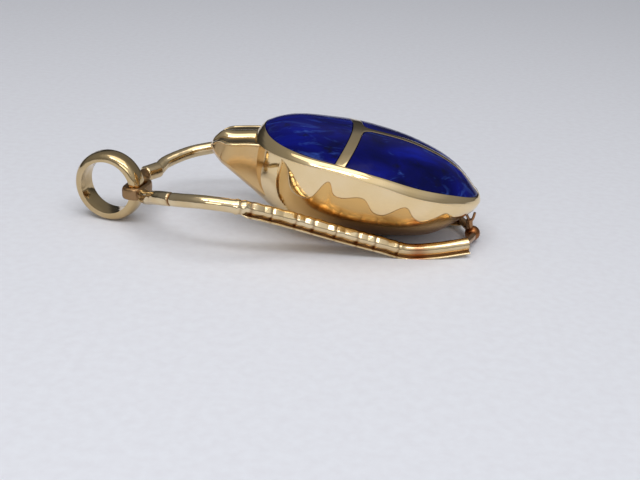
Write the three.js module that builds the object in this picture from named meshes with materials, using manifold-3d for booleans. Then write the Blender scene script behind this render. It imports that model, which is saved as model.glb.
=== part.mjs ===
// Scarab pendant: gold beetle with lapis inlays, legs soldered to a frame, and a round bail.
// Millimetres, +X towards the tail, +Z up. It lies on its hind legs and on the edge of the bail.
import * as THREE from 'three';
import { mergeVertices } from 'three/addons/utils/BufferGeometryUtils.js';
import Module from 'manifold-3d';

const wasm = await Module();
wasm.setup();

// Body, in its own frame: s runs from the front of the shield to the tail, h is up
const bodyTilt = THREE.MathUtils.degToRad(12);
const bodyPlace = new THREE.Vector3(11.6, 0, 9.6);
const bodyHalfWidth = 8.5;
const widestAt = 9.5;
const tailAt = 23.25;
const noseReach = 10.25;
const noseAt = widestAt - noseReach;
const noseFullness = 2.1;
const tailFullness = 1.7;
const domeFullness = 2.4;
const domeSteps = 6;
const hullFullness = 1.8;
const hullSteps = 9;
const hullRows = 33;
const rimHeight = 0.25;
const rimProud = 0.18;
const rimStep = 0.04;
const thinnest = 0.05;
const thinnestDepth = 0.15;

// Heights along the body: pairs of s and h
const rimLine = [[noseAt, 0.5], [0, 0.6], [4, 1.2], [8, 1.65], [12, 1.45], [16, 0.9], [20, 0.6],
  [tailAt, 0.25]];
const crownLine = [[noseAt, 1], [0, 1.7], [2.2, 2.8], [6.4, 3.45], [11, 3.95], [15.8, 3.8], [20.1, 2.6],
  [tailAt, 0.35]];
const keelLine = [[noseAt, -4], [0, -5.1], [1.7, -6.1], [4.4, -7.1], [7, -7.4], [10, -7.1], [16, -5.9],
  [19.6, -4.6], [21.6, -2.6], [tailAt, -0.7]];

// Head: pairs of s and half width, top or chin height
const headFront = -4.85;
const headBack = 2.5;
const headRows = 16;
const headWidths = [[headFront, 0.8], [-4.7, 1.3], [-4.2, 1.95], [-3.7, 2.55], [-3.25, 3.08], [-3, 3.2],
  [-1, 3.3], [headBack, 3.3]];
const headTops = [[headFront, -1.9], [-4.78, -1.5], [-4.5, -0.9], [-4.15, -0.42], [-3.8, -0.17], [-3, 0],
  [-0.75, 0.65], [headBack, 1.2]];
const headChins = [[headFront, -2.2], [-4.7, -2.4], [-4.2, -2.75], [-3.4, -3], [-3, -3.12], [-1.15, -4],
  [0.6, -4.85], [headBack, -5.6]];
const headFull = 2;
const crestShare = 0.32;
const crestDrop = 0.4;
const crestStep = 0.1;
const ledgeSlope = 0.05;
const headRidge = 0.12;
const headRidgeWidth = 0.3;
const headLip = 0.2;
const headLipProud = 0.1;
const headFlare = 0.1;
const headJaw = 0.75;

// Inlays
const rimWidth = 0.68;
const noseRimWidth = 0.72;
const tailRimWidth = 0.42;
const ribWidth = 1;
const ribAt = 9.1;
const ribBow = 1.25;
const midRibWidth = 0.8;
const wingCorner = 1.4;
const inlayThickness = 0.8;
const pocketDepth = 1.1;
const inlayGap = 0.15;
const slabRows = 26;
const slabSteps = 14;
const outlineSteps = 16;
const ribSteps = 8;
const pocketReach = 4;

// Legs: centre line from the eye to the tail, as x, distance from the middle and z; the fronts differ
const legWire = 0.74;
const leftFront = [[-0.1, 3.2, 3.72], [0.72, 4.45, 3.9], [1.5, 5.5, 4.35], [2.5, 6.7, 4.85]];
const rightFront = [[-0.6, 0.05, 3.7], [-1, 1.15, 3.85], [-0.9, 2.2, 4], [0.05, 3.55, 4.1], [0.5, 4.75, 4.45],
  [1.46, 6, 4.75], [2.96, 7.5, 5.05]];
const legPath = [[4.6, 8.15, 5.35], [7.5, 9.1, 5.7], [10.7, 8.8, 5.35], [13.6, 7.8, 4.5], [16.4, 7, 3.6],
  [20.3, 6.2, 2.4], [24.3, 5.5, 1.3], [26.9, 5, 0.58], [29.4, 4.7, 0.7], [33.2, 3.7, 1.15]];
const legSteps = 64;
const wireSides = 8;
const kneeAt = 10.7;
const kneeSwell = 0.22;
const kneeLength = 0.7;
const notchFrom = 11.6;
const notchTo = 28;
const notchSpacing = 2.05;
const notchDepth = 0.2;
const notchWidth = 0.22;
const leftSeamAt = 3.9;
const footFrom = -0.1;
const footTo = 0.5;
const footThinning = 0.3;
const rightFoot = [[-1, 2.1, 4], [0.1, 3.6, 4.1]];
const rightFootRadius = 0.76;

// Eye in front of the legs, ball at the tail
const eyeCentre = new THREE.Vector3(-0.78, -1.75, 3.7);
const eyeHalfLength = 1;
const eyeHalfWidth = 1.6;
const eyeFullness = 3;
const eyeThin = 0.3;
const eyeThick = 0.36;
const eyeSteps = 20;
const ballRadius = 0.8;
const ballPlace = new THREE.Vector3(34, 0, 0.95);
const tailWire = 0.42;
const tailWireInset = 0.4;
const pinWire = 0.34;
const prongWire = 0.14;
const pinSteps = 3;
const pinPath = [[33.75, 0, 1.3], [33.6, 0, 1.9], [33.5, 0, 2.45]];
const prongPaths = [
  [[33.6, 0, 2.2], [33.38, 0, 2.6], [33.2, 0, 2.92]],
  [[33.7, 0, 2.2], [33.9, 0, 2.7], [34, 0, 3.26]],
];

// Bail
const bailOuter = 3.7;
const bailInner = 2.76;
const bailWidth = 2.3;
const bailCrown = 0.36;
const bailFlat = 0.6;
const bailSteps = 40;
const bailTurn = THREE.MathUtils.degToRad(-13);
const bailPlace = new THREE.Vector2(-3.93, -1.05);

const gold = new THREE.MeshStandardMaterial({ color: 0xd9b765, roughness: 0.15, metalness: 1 });
const lapis = new THREE.MeshStandardMaterial({ color: 0x0d1a8c, roughness: 0.12, metalness: 0 });

// A smooth value along a list of pairs
function along(pairs) {
  const curve = new THREE.CubicInterpolant(pairs.map((p) => p[0]), pairs.map((p) => p[1]), 1);
  return (s) => curve.evaluate(s)[0];
}

const rimAt = along(rimLine);
const crownAt = along(crownLine);
const keelAt = along(keelLine);
const headWidthAt = along(headWidths);
const headTopAt = along(headTops);
const headChinAt = along(headChins);

// Half width of an egg-shaped outline, drawn in by an edge at the side, in front and behind
function eggHalfWidth(s, side, nose, tail) {
  const reach = s < widestAt ? noseReach - nose : tailAt - widestAt - tail;
  const fullness = s < widestAt ? noseFullness : tailFullness;
  const share = Math.min(Math.abs(s - widestAt) / reach, 1);
  return (bodyHalfWidth - side) * Math.sqrt(1 - share ** fullness);
}

const bodyWidthAt = (s) => Math.max(eggHalfWidth(s, 0, 0, 0), thinnest);

function domeHeight(s, y) {
  const rim = rimAt(s);
  const share = Math.min(Math.abs(y) / bodyWidthAt(s), 1);
  return rim + (crownAt(s) - rim) * (1 - share ** domeFullness);
}

// A closed skin over sections with the same number of points, capped at both ends or joined to a ring
function loft(sections, ring = false) {
  const count = sections[0].length;
  const points = sections.flat();
  const index = [];
  const rows = ring ? sections.length : sections.length - 1;
  for (let row = 0; row < rows; row++) {
    const next = (row + 1) % sections.length;
    for (let i = 0; i < count; i++) {
      const j = (i + 1) % count;
      const a = row * count + i;
      const b = row * count + j;
      const c = next * count + j;
      const d = next * count + i;
      index.push(a, b, c, a, c, d);
    }
  }
  if (!ring) {
    [0, sections.length - 1].forEach((row, end) => {
      const centre = new THREE.Vector3();
      sections[row].forEach((p) => centre.addScaledVector(p, 1 / count));
      const hub = points.push(centre) - 1;
      for (let i = 0; i < count; i++) {
        const a = row * count + i;
        const b = row * count + (i + 1) % count;
        index.push(...(end === 0 ? [hub, b, a] : [hub, a, b]));
      }
    });
  }
  const geometry = new THREE.BufferGeometry().setFromPoints(points);
  geometry.setIndex(index);
  return geometry;
}

function solid(geometry) {
  geometry.deleteAttribute('normal');
  geometry.deleteAttribute('uv');
  const merged = mergeVertices(geometry, 1e-5);
  const mesh = new wasm.Mesh({
    numProp: 3,
    vertProperties: new Float32Array(merged.attributes.position.array),
    triVerts: new Uint32Array(merged.index.array),
  });
  mesh.merge();
  return new wasm.Manifold(mesh);
}

function toGeometry(manifold) {
  const mesh = manifold.getMesh();
  const geometry = new THREE.BufferGeometry();
  geometry.setAttribute('position', new THREE.BufferAttribute(new Float32Array(mesh.vertProperties), 3));
  geometry.setIndex(new THREE.BufferAttribute(new Uint32Array(mesh.triVerts), 1));
  geometry.computeVertexNormals();
  return geometry;
}

function named(name, geometry, material) {
  const mesh = new THREE.Mesh(geometry, material.clone());
  mesh.name = name;
  return mesh;
}

// Stations that crowd towards both ends
function stations(from, to, count) {
  return Array.from({ length: count + 1 }, (_, i) => {
    return from + (to - from) * (1 - Math.cos(Math.PI * i / count)) / 2;
  });
}

// Right half of a section, closed by its mirror image; pairs run from the top of the middle to the bottom
function mirrored(s, half) {
  const right = half.map(([y, h]) => new THREE.Vector3(s, -y, h));
  const left = half.slice(1, -1).reverse().map(([y, h]) => new THREE.Vector3(s, y, h));
  return [...right, ...left];
}

function hullSection(s) {
  const width = bodyWidthAt(s);
  const inner = width - Math.min(rimProud, width / 3);
  const ledge = rimAt(s) - rimHeight;
  const depth = Math.max(ledge - keelAt(s), thinnestDepth);
  const half = [];
  for (let i = 0; i <= domeSteps; i++) {
    const y = width * Math.sin(Math.PI / 2 * i / domeSteps);
    half.push([y, domeHeight(s, y)]);
  }
  half.push([width, ledge]);
  for (let i = 0; i <= hullSteps; i++) {
    const angle = Math.PI / 2 * i / hullSteps;
    const out = Math.cos(angle) ** (2 / hullFullness);
    const down = Math.sin(angle) ** (2 / hullFullness);
    half.push([inner * out, ledge - rimStep - depth * down]);
  }
  return mirrored(s, half);
}

// Domed crest, step, ledge, thin ridge with a lip, and a wall down to the jaw; all flatten towards the front
function headSection(s) {
  const width = headWidthAt(s);
  const top = headTopAt(s);
  const chin = headChinAt(s);
  const small = Math.min(1, (top - chin) / headFull);
  const crest = width * crestShare;
  const foot = top - crestDrop * small;
  const ledge = foot - crestStep * small;
  const ridge = ledge - ledgeSlope + headRidge * small;
  const wall = ridge - headLip * small;
  const tuck = thinnest * 2 * small;
  return mirrored(s, [
    [0, top],
    [crest * 0.6, top - crestDrop * 0.25 * small],
    [crest, foot],
    [crest + thinnest, ledge],
    [width - headRidgeWidth * 1.4, ledge - ledgeSlope],
    [width - headRidgeWidth, ridge],
    [width, ridge - thinnest],
    [width, wall],
    [width - headLipProud, wall - tuck],
    [width - headLipProud + headFlare * small, Math.min(chin + headJaw, wall - tuck * 1.5)],
    [width - headJaw * small, Math.min(chin + thinnestDepth, wall - tuck * 2)],
    [0, chin],
  ]);
}

// Slab that follows the dome, between two offsets from its surface
function domeSlab(above, below) {
  return solid(loft(stations(noseAt + thinnest, tailAt - thinnest, slabRows).map((s) => {
    const across = stations(-bodyWidthAt(s), bodyWidthAt(s), slabSteps);
    const top = across.map((y) => new THREE.Vector3(s, y, domeHeight(s, y) + above)).reverse();
    const bottom = across.map((y) => new THREE.Vector3(s, y, domeHeight(s, y) + below));
    return [...top, ...bottom];
  })));
}

function prism(shape) {
  const geometry = new THREE.ExtrudeGeometry(shape, { depth: 2 * pocketReach, bevelEnabled: false });
  geometry.translate(0, 0, -pocketReach / 2);
  return solid(geometry);
}

const inlayHalfWidth = (s, gap) => eggHalfWidth(s, rimWidth + gap, noseRimWidth + gap, tailRimWidth + gap);
const ribCentre = (y) => ribAt - ribBow * (y / bodyHalfWidth) ** 2;

// Where the rib meets the inlay's outline on one of its sides
function ribEnd(side, gap) {
  let y = bodyHalfWidth - rimWidth;
  for (let i = 0; i < 20; i++) {
    y = inlayHalfWidth(ribCentre(y) + side * (ribWidth / 2 + gap), gap);
  }
  return y;
}

function ribEdge(side, gap, from, to) {
  return Array.from({ length: ribSteps + 1 }, (_, i) => {
    const y = from + (to - from) * i / ribSteps;
    return new THREE.Vector2(ribCentre(y) + side * (ribWidth / 2 + gap), y);
  });
}

function outlinePoints(from, to, gap) {
  return stations(from, to, outlineSteps).map((s) => new THREE.Vector2(s, inlayHalfWidth(s, gap)));
}

function shieldShape(gap) {
  const end = ribEnd(-1, gap);
  const start = noseAt + noseRimWidth + gap;
  const upper = outlinePoints(start, ribCentre(end) - ribWidth / 2 - gap, gap);
  const lower = upper.slice(1).map((p) => new THREE.Vector2(p.x, -p.y)).reverse();
  return new THREE.Shape([...upper, ...ribEdge(-1, gap, end, -end).slice(1, -1), ...lower]);
}

function wingShape(side, gap) {
  const end = ribEnd(1, gap);
  const inner = midRibWidth / 2 + gap;
  const tip = tailAt - tailRimWidth - gap;
  const tail = outlinePoints(ribCentre(end) + ribWidth / 2 + gap, tip, gap).filter((p) => p.y > inner);
  const front = ribEdge(1, gap, inner + wingCorner, end);
  const corner = new THREE.QuadraticBezierCurve(
    new THREE.Vector2(ribCentre(0) + ribWidth / 2 + gap + wingCorner, inner),
    new THREE.Vector2(ribCentre(0) + ribWidth / 2 + gap, inner),
    front[0],
  ).getPoints(4);
  const last = new THREE.Vector2((tail.at(-1).x + tip) / 2, inner);
  const points = [...corner, ...front.slice(1, -1), ...tail, last];
  return new THREE.Shape(points.map((p) => new THREE.Vector2(p.x, side * p.y)));
}

// Body group
const body = new THREE.Group();
body.position.copy(bodyPlace);
body.rotation.y = bodyTilt;

const hull = solid(loft(stations(noseAt, tailAt, hullRows).map(hullSection)));
const head = solid(loft(stations(headFront, headBack, headRows).map(headSection)));
const inlays = [
  ['shield_inlay', shieldShape],
  ['left_wing_inlay', (gap) => wingShape(-1, gap)],
  ['right_wing_inlay', (gap) => wingShape(1, gap)],
];
let casting = hull.add(head);
for (const [name, shape] of inlays) {
  casting = casting.subtract(prism(shape(0)).intersect(domeSlab(pocketDepth, -pocketDepth)));
  const stone = prism(shape(inlayGap)).intersect(domeSlab(0, -inlayThickness));
  body.add(named(name, toGeometry(stone), lapis));
}
body.add(named('gold_body', toGeometry(casting), gold));

// Leg frame
function sweep(curve, steps, section, up = new THREE.Vector3(0, 0, 1)) {
  const rows = Array.from({ length: steps + 1 }, (_, i) => {
    const share = i / steps;
    const centre = curve.getPointAt(share);
    const ahead = curve.getTangentAt(share);
    const right = new THREE.Vector3().crossVectors(ahead, up).normalize();
    const top = new THREE.Vector3().crossVectors(right, ahead);
    return section(centre).map(([a, b]) => centre.clone().addScaledVector(right, a).addScaledVector(top, b));
  });
  return loft(rows);
}

const dip = (x, at, width) => Math.exp(-(((x - at) / width) ** 2));

function legRadius(x, side) {
  let radius = legWire * (1 + kneeSwell * dip(x, kneeAt, kneeLength));
  if (side < 0) {
    radius *= 1 - notchDepth * dip(x, leftSeamAt, notchWidth);
  }
  radius *= 1 - footThinning * (1 - THREE.MathUtils.smoothstep(x, footFrom, footTo));
  for (let at = notchFrom; at < notchTo; at += notchSpacing) {
    radius *= 1 - notchDepth * dip(x, at, notchWidth);
  }
  return radius;
}

// Round section with a flat side underneath
function roundWire(radius) {
  return Array.from({ length: wireSides }, (_, i) => {
    const angle = -2 * Math.PI * (i + 0.5) / wireSides;
    return [radius * Math.cos(angle), radius * Math.sin(angle)];
  });
}

function legSide(side) {
  const front = side < 0 ? leftFront : rightFront;
  const points = [...front, ...legPath].map(([x, y, z]) => new THREE.Vector3(x, side * y, z));
  const curve = new THREE.CatmullRomCurve3(points);
  return solid(sweep(curve, legSteps, (centre) => roundWire(legRadius(centre.x, side))));
}

function foot() {
  const line = new THREE.LineCurve3(...rightFoot.map((p) => new THREE.Vector3(...p)));
  return solid(sweep(line, 1, () => roundWire(rightFootRadius)));
}

// Oblong loop with rounded corners, close round the bail
function eye() {
  const bent = (value, power) => Math.sign(value) * Math.abs(value) ** power;
  const rows = Array.from({ length: eyeSteps }, (_, i) => {
    const turn = 2 * Math.PI * (i + 0.5) / eyeSteps;
    const [long, wide] = [Math.cos(turn), Math.sin(turn)].map((v) => bent(v, 2 / eyeFullness));
    const centre = new THREE.Vector3(eyeHalfLength * long, eyeHalfWidth * wide, 0);
    const out = new THREE.Vector3(bent(long, eyeFullness - 1) / eyeHalfLength,
      bent(wide, eyeFullness - 1) / eyeHalfWidth, 0);
    out.normalize();
    const wire = eyeThin + (eyeThick - eyeThin) * (1 - Math.cos(turn)) / 2;
    return roundWire(wire).map(([a, b]) => {
      return centre.clone().addScaledVector(out, a).add(new THREE.Vector3(0, 0, b));
    });
  });
  const geometry = loft(rows, true);
  geometry.rotateZ(bailTurn);
  geometry.translate(eyeCentre.x, eyeCentre.y, eyeCentre.z);
  return solid(geometry);
}

function tailLoop() {
  const [x, y, z] = legPath.at(-1);
  const points = [-1, 1].map((side) => new THREE.Vector3(x - tailWireInset, side * y, z));
  const curve = new THREE.CatmullRomCurve3([points[0], ballPlace.clone(), points[1]]);
  const ball = new THREE.SphereGeometry(ballRadius, 14, 10);
  ball.translate(ballPlace.x, ballPlace.y, ballPlace.z);
  return solid(sweep(curve, 10, () => roundWire(tailWire))).add(solid(ball));
}

// Split pin over the ball, its two ends spread
function splitPin() {
  const wire = (path, radius) => {
    const curve = new THREE.CatmullRomCurve3(path.map((p) => new THREE.Vector3(...p)));
    return solid(sweep(curve, pinSteps, () => roundWire(radius), new THREE.Vector3(0, 1, 0)));
  };
  return prongPaths.reduce((pin, path) => pin.add(wire(path, prongWire)), wire(pinPath, pinWire));
}

// The hind legs are filed flat where the pendant lies on them
const filing = new THREE.BoxGeometry(80, 40, 10);
filing.translate(0, 0, -5);
const wires = legSide(-1).add(legSide(1)).add(foot()).add(eye()).add(tailLoop()).add(splitPin());
const legFrame = wires.subtract(solid(filing));

// Bail
function bail() {
  const half = bailWidth / 2;
  const shoulder = bailOuter - bailCrown / 4;
  const profile = [
    [bailInner, -half],
    [bailOuter - bailCrown, -half],
    [shoulder, -half * bailFlat],
    [bailOuter, 0],
    [shoulder, half * bailFlat],
    [bailOuter - bailCrown, half],
    [bailInner, half],
    [bailInner, -half],
  ].map(([r, w]) => new THREE.Vector2(r, w));
  return new THREE.LatheGeometry(profile, bailSteps);
}

const pendant = new THREE.Group();
pendant.add(body);
pendant.add(named('leg_frame', toGeometry(legFrame), gold));
const bailRing = named('bail_ring', bail(), gold);
bailRing.position.set(bailPlace.x, bailPlace.y, bailOuter);
bailRing.rotation.z = bailTurn;
pendant.add(bailRing);

// The origin is under the middle of the whole pendant
const scarab = new THREE.Group();
scarab.add(pendant);
scarab.updateMatrixWorld(true);
const box = new THREE.Box3().setFromObject(scarab, true);
pendant.position.set(-(box.min.x + box.max.x) / 2, -(box.min.y + box.max.y) / 2, -box.min.z);

export default scarab;
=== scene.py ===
# Scarab pendant in polished gold and lapis, lying on its hind legs and on its bail
import math

import bmesh
import bpy
import numpy as np
from mathutils import Matrix, Vector


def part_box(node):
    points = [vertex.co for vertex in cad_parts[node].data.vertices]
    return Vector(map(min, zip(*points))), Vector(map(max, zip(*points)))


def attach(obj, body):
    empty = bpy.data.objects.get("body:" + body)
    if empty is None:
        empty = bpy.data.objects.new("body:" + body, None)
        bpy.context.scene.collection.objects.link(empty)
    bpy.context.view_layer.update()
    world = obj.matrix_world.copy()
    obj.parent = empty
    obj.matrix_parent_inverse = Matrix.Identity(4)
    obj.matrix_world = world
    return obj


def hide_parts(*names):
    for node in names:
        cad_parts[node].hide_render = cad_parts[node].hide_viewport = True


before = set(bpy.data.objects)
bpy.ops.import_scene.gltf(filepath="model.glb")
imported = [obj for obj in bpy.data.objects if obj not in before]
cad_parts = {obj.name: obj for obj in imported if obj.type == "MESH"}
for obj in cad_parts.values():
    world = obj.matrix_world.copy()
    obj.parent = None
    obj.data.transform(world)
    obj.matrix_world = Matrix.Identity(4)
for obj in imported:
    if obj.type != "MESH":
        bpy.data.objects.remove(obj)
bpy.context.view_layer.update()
mm = 0.001

# Shapes are worked out in mm from the front of the legs, then moved to the frame's origin
ball = dict(radius=0.8, place=(34, 0, 0.95), around=56, rings=36, pole=0.02)
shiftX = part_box("leg_frame")[1].x - (ball["place"][0] + ball["radius"]) * mm
print("frame loaded, origin moved by", round(shiftX / mm, 3), "mm")


# Curves and skins

def hermite(t, start, leave, end, reach):
    return ((2 * t**3 - 3 * t**2 + 1) * start + (t**3 - 2 * t**2 + t) * leave
            + (3 * t**2 - 2 * t**3) * end + (t**3 - t**2) * reach)


def along(pairs):
    # smooth value through pairs of place and value
    xs, ys = np.array(pairs, float).T
    secants = np.diff(ys) / np.diff(xs)
    slopes = np.r_[secants[0], (secants[1:] + secants[:-1]) / 2, secants[-1]]

    def value(x):
        x = np.clip(x, xs[0], xs[-1])
        i = np.clip(np.searchsorted(xs, x, side="right") - 1, 0, len(xs) - 2)
        step = xs[i + 1] - xs[i]
        return hermite((x - xs[i]) / step, ys[i], step * slopes[i], ys[i + 1], step * slopes[i + 1])

    return value


def runLength(points):
    return np.r_[0, np.cumsum(np.linalg.norm(np.diff(points, axis=0), axis=1))]


def evenSteps(points, count, closed=False):
    # the same line, cut to even steps
    run = runLength(points)
    even = np.linspace(0, run[-1], count, endpoint=not closed)
    return np.stack([np.interp(even, run, column) for column in points.T], 1)


def wirePath(points, count, fineness=60):
    # centre line of a bent wire through the points
    p = np.array(points, float)
    p = np.vstack([2 * p[0] - p[1], p, 2 * p[-1] - p[-2]])
    gaps = np.linalg.norm(np.diff(p, axis=0), axis=1) ** 0.5
    t = np.linspace(0, 1, fineness, endpoint=False)[:, None]
    fine = []
    for i in range(1, len(p) - 2):
        a, b, c = gaps[i - 1:i + 2]
        leave = ((p[i] - p[i - 1]) / a - (p[i + 1] - p[i - 1]) / (a + b) + (p[i + 1] - p[i]) / b) * b
        reach = ((p[i + 1] - p[i]) / b - (p[i + 2] - p[i]) / (b + c) + (p[i + 2] - p[i + 1]) / c) * b
        fine.append(hermite(t, p[i], leave, p[i + 1], reach))
    return evenSteps(np.vstack(fine + [p[-2:-1]]), count)


def smoothStep(x, low, high):
    t = np.clip((x - low) / (high - low), 0, 1)
    return t * t * (3 - 2 * t)


def bump(x, at, width):
    return np.exp(-((x - at) / width) ** 2)


def bent(value, power):
    return np.sign(value) * np.abs(value) ** power


def circle(count):
    angle = np.linspace(0, 2 * math.pi, count, endpoint=False)
    return np.stack([np.cos(angle), np.sin(angle)], 1)


def rounded(corners, radius, steps=3, closed=True, most=0.45):
    # ease every corner over a short length, at most that share of a side
    p = np.array(corners, float)
    eased = []
    for i, corner in enumerate(p):
        if not closed and i in (0, len(p) - 1):
            eased.append(corner)
            continue
        before, after = p[i - 1] - corner, p[(i + 1) % len(p)] - corner
        start = corner + before * min(radius / np.linalg.norm(before), most)
        end = corner + after * min(radius / np.linalg.norm(after), most)
        for t in np.linspace(0, 1, steps + 1):
            eased.append((1 - t) ** 2 * start + 2 * t * (1 - t) * corner + t**2 * end)
    return np.array(eased)


def stations(low, high, count):
    # crowded towards both ends
    return low + (high - low) * (1 - np.cos(np.linspace(0, math.pi, count))) / 2


def turnedFlat(x, y, degrees, place):
    # turned about the upright axis, then put in place
    a = math.radians(degrees)
    return x * math.cos(a) - y * math.sin(a) + place[0], x * math.sin(a) + y * math.cos(a) + place[1]


def mirroredRing(half):
    # half outline, closed by its other side
    half = np.asarray(half)
    return np.vstack([half, half[-2:0:-1] * [-1, 1]])


def bothSides(marks):
    return np.r_[marks, marks[-2:0:-1]]


def skin(rows, ring=False):
    # faces over rows of points, capped at both ends unless the rows close to a ring
    rows = np.asarray(rows, float)
    count, around = rows.shape[:2]
    faces = []
    for row in range(count if ring else count - 1):
        a, b = row * around, (row + 1) % count * around
        faces += [(a + i, a + (i + 1) % around, b + (i + 1) % around, b + i) for i in range(around)]
    if not ring:
        faces.append(tuple(reversed(range(around))))
        faces.append(tuple(range((count - 1) * around, count * around)))
    return rows.reshape(-1, 3), faces


def sweep(path, section, lean=(0, 0, 1)):
    # section(i) gives the outline at each step, as sideways and up
    ahead = np.gradient(path, axis=0)
    ahead /= np.linalg.norm(ahead, axis=1)[:, None]
    side = np.cross(ahead, lean)
    side /= np.linalg.norm(side, axis=1)[:, None]
    top = np.cross(side, ahead)
    rows = []
    for i, centre in enumerate(path):
        a, b = np.asarray(section(i)).T
        rows.append(centre + a[:, None] * side[i] + b[:, None] * top[i])
    return rows


def shell(rows, ring=False, soil=0.0, warm=0.0):
    # closed skin with two marks at each point: darkening, mostly painted shade with some polish residue in
    # cuts; and a deeper, warmer tone, a painted reflection of gold in gold on the hull and copper on the wire
    points, faces = skin(rows, ring)
    marks = [np.broadcast_to(np.asarray(mark, float).reshape(-1), len(points)) for mark in (soil, warm)]
    return dict(points=points, faces=faces, soil=marks[0], warm=marks[1])


def makePiece(name, shells, material, node, crease=38):
    points = np.vstack([s["points"] for s in shells]) * mm + np.array([shiftX, 0, 0])
    faces, base = [], 0
    for s in shells:
        faces += [tuple(base + i for i in face) for face in s["faces"]]
        base += len(s["points"])
    mesh = bpy.data.meshes.new(name)
    mesh.from_pydata(points.tolist(), [], faces)
    bm = bmesh.new()
    bm.from_mesh(mesh)
    bmesh.ops.recalc_face_normals(bm, faces=bm.faces)
    bm.to_mesh(mesh)
    bm.free()
    for mark in ("soil", "warm"):
        values = np.concatenate([s[mark] for s in shells]).astype(np.float32)
        mesh.attributes.new(mark, "FLOAT", "POINT").data.foreach_set("value", values)
    mesh.shade_smooth()
    mesh.set_sharp_from_angle(angle=math.radians(crease))
    mesh.materials.append(material)
    piece = bpy.data.objects.new(name, mesh)
    bpy.context.scene.collection.objects.link(piece)
    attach(piece, "root")
    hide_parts(node)
    print(name, len(mesh.vertices), "points,", sum(len(f.vertices) - 2 for f in mesh.polygons), "triangles")


# Materials

def linear(hexColour):
    channels = [int(hexColour[i:i + 2], 16) / 255 for i in (1, 3, 5)]
    return tuple(c / 12.92 if c <= 0.04045 else ((c + 0.055) / 1.055) ** 2.4 for c in channels) + (1,)


def addNode(tree, kind, settings=None, links=None):
    # a setting is a property, a socket or the stops of a colour ramp
    node = tree.nodes.new(kind)
    for name, value in (settings or {}).items():
        if name == "stops":
            stops, elements = list(value), node.color_ramp.elements
            while len(elements) < len(stops):
                elements.new(0.5)
            for element, (place, colour) in zip(elements, stops):
                element.position = place
                element.color = linear(colour) if isinstance(colour, str) else (colour,) * 3 + (1,)
        elif hasattr(node, name):
            setattr(node, name, value)
        else:
            node.inputs[name].default_value = value
    for socket, source in (links or {}).items():
        tree.links.new(source, node.inputs[socket])
    return node


def newMaterial(name):
    material = bpy.data.materials.new(name)
    material.use_nodes = True
    tree = material.node_tree
    tree.nodes.clear()
    shader = addNode(tree, "ShaderNodeBsdfPrincipled")
    addNode(tree, "ShaderNodeOutputMaterial", links={"Surface": shader.outputs["BSDF"]})
    return material, tree, shader


def goldMaterial(name, look):
    # 18 carat gold: pale yellow, hazed by the buffing wheel; deeper where it mirrors itself, which is a
    #                painted reflection, and darker where painted shade (with polish residue) lies
    material, tree, shader = newMaterial(name)
    place = addNode(tree, "ShaderNodeTexCoord").outputs["Object"]
    soil = addNode(tree, "ShaderNodeAttribute", {"attribute_name": "soil"}).outputs["Fac"]
    warm = addNode(tree, "ShaderNodeAttribute", {"attribute_name": "warm"}).outputs["Fac"]
    tone = addNode(tree, "ShaderNodeTexNoise", {"Scale": 1 / (look["tonePatch"] * mm), "Detail": 3},
                   {"Vector": place})
    tones = zip(look["toneStops"], (look["colour"], look["tone"]))
    clean = addNode(tree, "ShaderNodeValToRGB", {"stops": tones}, {"Fac": tone.outputs["Fac"]})
    # the warm mix paints a reflection of gold in gold on the sheet and a coppery tone on the wire; the dark
    # mix paints shade, with polish residue in cuts
    warmed = addNode(tree, "ShaderNodeMixRGB", {"Color2": linear(look["warm"])},
                     {"Fac": warm, "Color1": clean.outputs["Color"]})
    colour = addNode(tree, "ShaderNodeMixRGB", {"Color2": linear(look["soil"])},
                     {"Fac": soil, "Color1": warmed.outputs["Color"]})
    haze = addNode(tree, "ShaderNodeTexNoise", {"Scale": 1 / (look["hazePatch"] * mm), "Detail": 4},
                   {"Vector": place})
    rough = addNode(tree, "ShaderNodeValToRGB", {"stops": zip(look["hazeStops"], look["roughness"])},
                    {"Fac": haze.outputs["Fac"]})
    for mark, value in ((warm, look["warmRoughness"]), (soil, look["shadeRoughness"])):
        rough = addNode(tree, "ShaderNodeMixRGB", {"Color2": (value,) * 3 + (1,)},
                        {"Fac": mark, "Color1": rough.outputs["Color"]})
    # sheet and wire worked by hand are never quite true
    wave = addNode(tree, "ShaderNodeTexNoise", {"Scale": 1 / (look["waveSize"] * mm), "Detail": 1},
                   {"Vector": place})
    waves = addNode(tree, "ShaderNodeBump", {"Strength": look["wave"], "Distance": look["waveDepth"] * mm},
                    {"Height": wave.outputs["Fac"]})
    # buffing lines are a few hundredths of a millimetre wide; drawn coarser so that they show
    stretched = addNode(tree, "ShaderNodeMapping", {"Scale": look["lineStretch"]}, {"Vector": place})
    line = addNode(tree, "ShaderNodeTexNoise", {"Scale": 1 / (look["lineWidth"] * mm), "Detail": 2},
                   {"Vector": stretched.outputs["Vector"]})
    lines = addNode(tree, "ShaderNodeBump", {"Strength": look["lines"], "Distance": look["lineDepth"] * mm},
                    {"Height": line.outputs["Fac"], "Normal": waves.outputs["Normal"]})
    shader.inputs["Metallic"].default_value = 1
    tree.links.new(colour.outputs["Color"], shader.inputs["Base Color"])
    tree.links.new(rough.outputs["Color"], shader.inputs["Roughness"])
    tree.links.new(lines.outputs["Normal"], shader.inputs["Normal"])
    return material


# the dark brown is painted shade, with polish residue; the sheet's warm colour is a painted reflection of
# gold in gold, the wire's a coppery tone
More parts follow.
